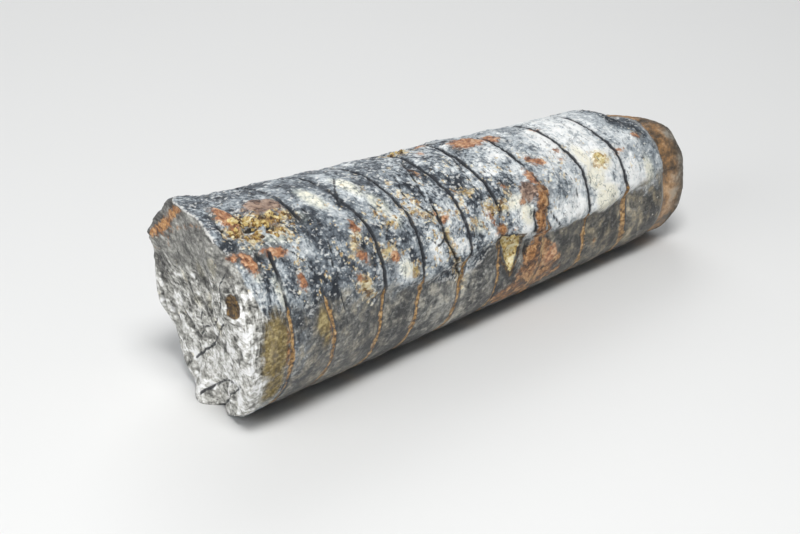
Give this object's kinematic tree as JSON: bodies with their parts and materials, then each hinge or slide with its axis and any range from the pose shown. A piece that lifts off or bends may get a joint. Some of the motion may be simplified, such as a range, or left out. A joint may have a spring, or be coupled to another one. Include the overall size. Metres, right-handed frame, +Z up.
{
  "type": "orthoceras fossil",
  "caption": "Straight, tapering chambered shell turned to stone, lying on its side, broken across its wide end and domed at its narrow end",
  "frame": {"origin": "middle of the bounding box's foot, on the surface that the fossil lies on", "axes": "+X runs along the cone from its wide broken end to its narrow domed end, -Y is the front, +Z is up"},
  "size_m": [0.1256, 0.0362, 0.0366],
  "materials": {
    "fossil_stone": "mottled grey and white calcite, half polished low on the front, with rust filled suture lines and ochre crystal patches"
  },
  "bodies": {
    "root": {"orthoceras_fossil": "fossil_stone"}
  },
  "joints": []
}
